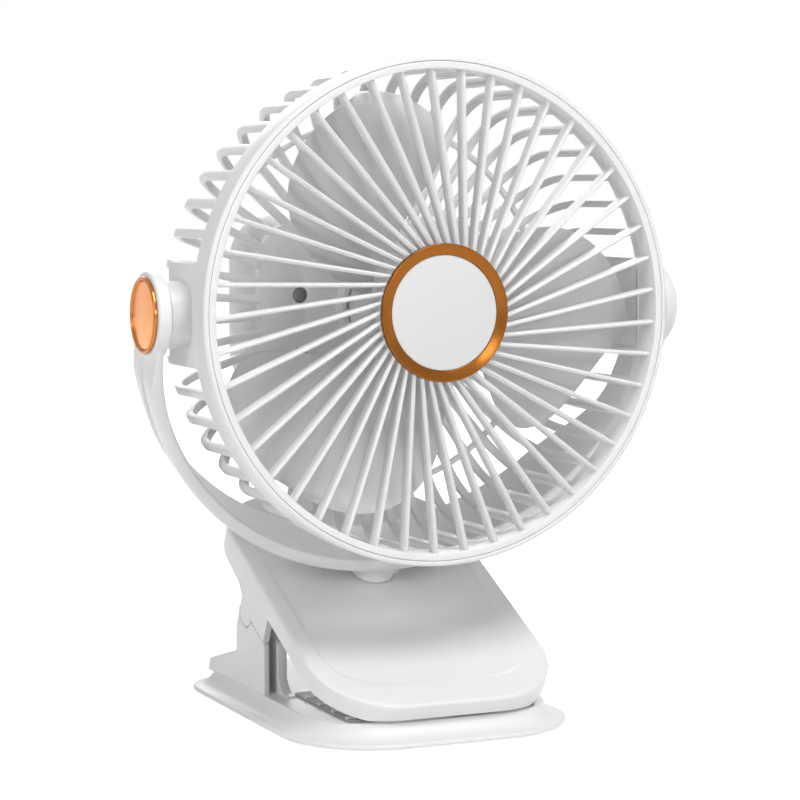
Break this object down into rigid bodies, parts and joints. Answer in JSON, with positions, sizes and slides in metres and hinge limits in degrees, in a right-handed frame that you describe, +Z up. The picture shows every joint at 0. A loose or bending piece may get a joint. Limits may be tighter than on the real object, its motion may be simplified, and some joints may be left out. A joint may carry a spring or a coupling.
{
  "type": "portable clip-on fan",
  "caption": "Caged desk fan on a tilting, swivelling yoke, with a sprung clip that is also its stand, a motor and cells in its head.",
  "frame": {"origin": "on the flat underside, straight below the middle of the head's tilt axis", "axes": "+Z up, -Y the way the fan blows, +X along the tilt axis to the right seen from the front"},
  "size_m": [0.2102, 0.1474, 0.2466],
  "materials": {
    "white_plastic": "smooth satin white moulding",
    "pale_plastic": "plain off-white moulding",
    "cap_plastic": "fine satin pale grey",
    "blade_plastic": "smooth white, slightly see-through",
    "dark_plastic": "fine matt black",
    "grip_rubber": "matt soft rubber",
    "copper_trim": "copper-coloured plated trim, finely brushed",
    "steel": "zinc-plated steel",
    "magnet": "sintered ferrite",
    "bronze": "oiled sintered bronze",
    "winding": "laminated core with lacquered copper wire",
    "cell_wrap": "shrink sleeve over a cell",
    "board": "solder-masked board",
    "lens": "frosted light pipe"
  },
  "bodies": {
    "base": {"base_body": "white_plastic", "base_cover": "pale_plastic", "base_pad": "grip_rubber", "base_screws": "steel", "lower_jaw_pad": "grip_rubber", "hinge_pin": "steel", "torsion_springs": "steel"},
    "lid": {"clip_lid": "white_plastic", "clip_liner": "pale_plastic", "liner_screws": "steel", "upper_jaw_pad": "grip_rubber"},
    "yoke": {"yoke": "white_plastic", "swivel_washer": "steel", "swivel_screw": "steel", "pivot_cap_left": "copper_trim", "pivot_cap_right": "white_plastic"},
    "head": {"front_grille": "white_plastic", "hub_trim_ring": "copper_trim", "hub_cap": "cap_plastic", "rear_cage": "white_plastic", "rear_housing": "white_plastic", "housing_screws": "steel", "motor_can": "steel", "motor_magnets": "magnet", "motor_bearings": "bronze", "motor_screws": "steel", "battery_cells": "cell_wrap", "battery_tray": "dark_plastic", "control_board": "board", "charge_socket": "steel", "indicator_lens": "lens", "pivot_screws": "steel", "friction_washers": "dark_plastic"},
    "rotor": {"impeller": "blade_plastic", "motor_shaft": "steel", "motor_rotor": "winding"},
    "button": {"speed_button": "cap_plastic"}
  },
  "joints": [
    {"name": "clip_open", "type": "hinge", "parent": "base", "child": "lid", "pos_m": [0, 0.04949, 0.03752], "axis": [-1, 0, 0], "range_deg": [0, 25], "stiffness_Nm_per_rad": 1, "springref_deg": -45.84, "deforming": ["torsion_springs"]},
    {"name": "head_swivel", "type": "hinge", "parent": "lid", "child": "yoke", "pos_m": [0, 0.03861, 0.05026], "axis": [0, -0.4337, 0.9011], "continuous": true},
    {"name": "head_tilt", "type": "hinge", "parent": "yoke", "child": "head", "pos_m": [0, 0, 0.15461], "axis": [-1, 0, 0], "range_deg": [-90, 90]},
    {"name": "fan_spin", "type": "hinge", "parent": "head", "child": "rotor", "pos_m": [0, 0, 0.15461], "axis": [0, 1, 0], "continuous": true},
    {"name": "button_press", "type": "slide", "parent": "head", "child": "button", "axis": [0, -1, 0], "range_m": [0, 0.0008], "stiffness_N_per_m": 1200, "springref_m": -0.0008}
  ]
}
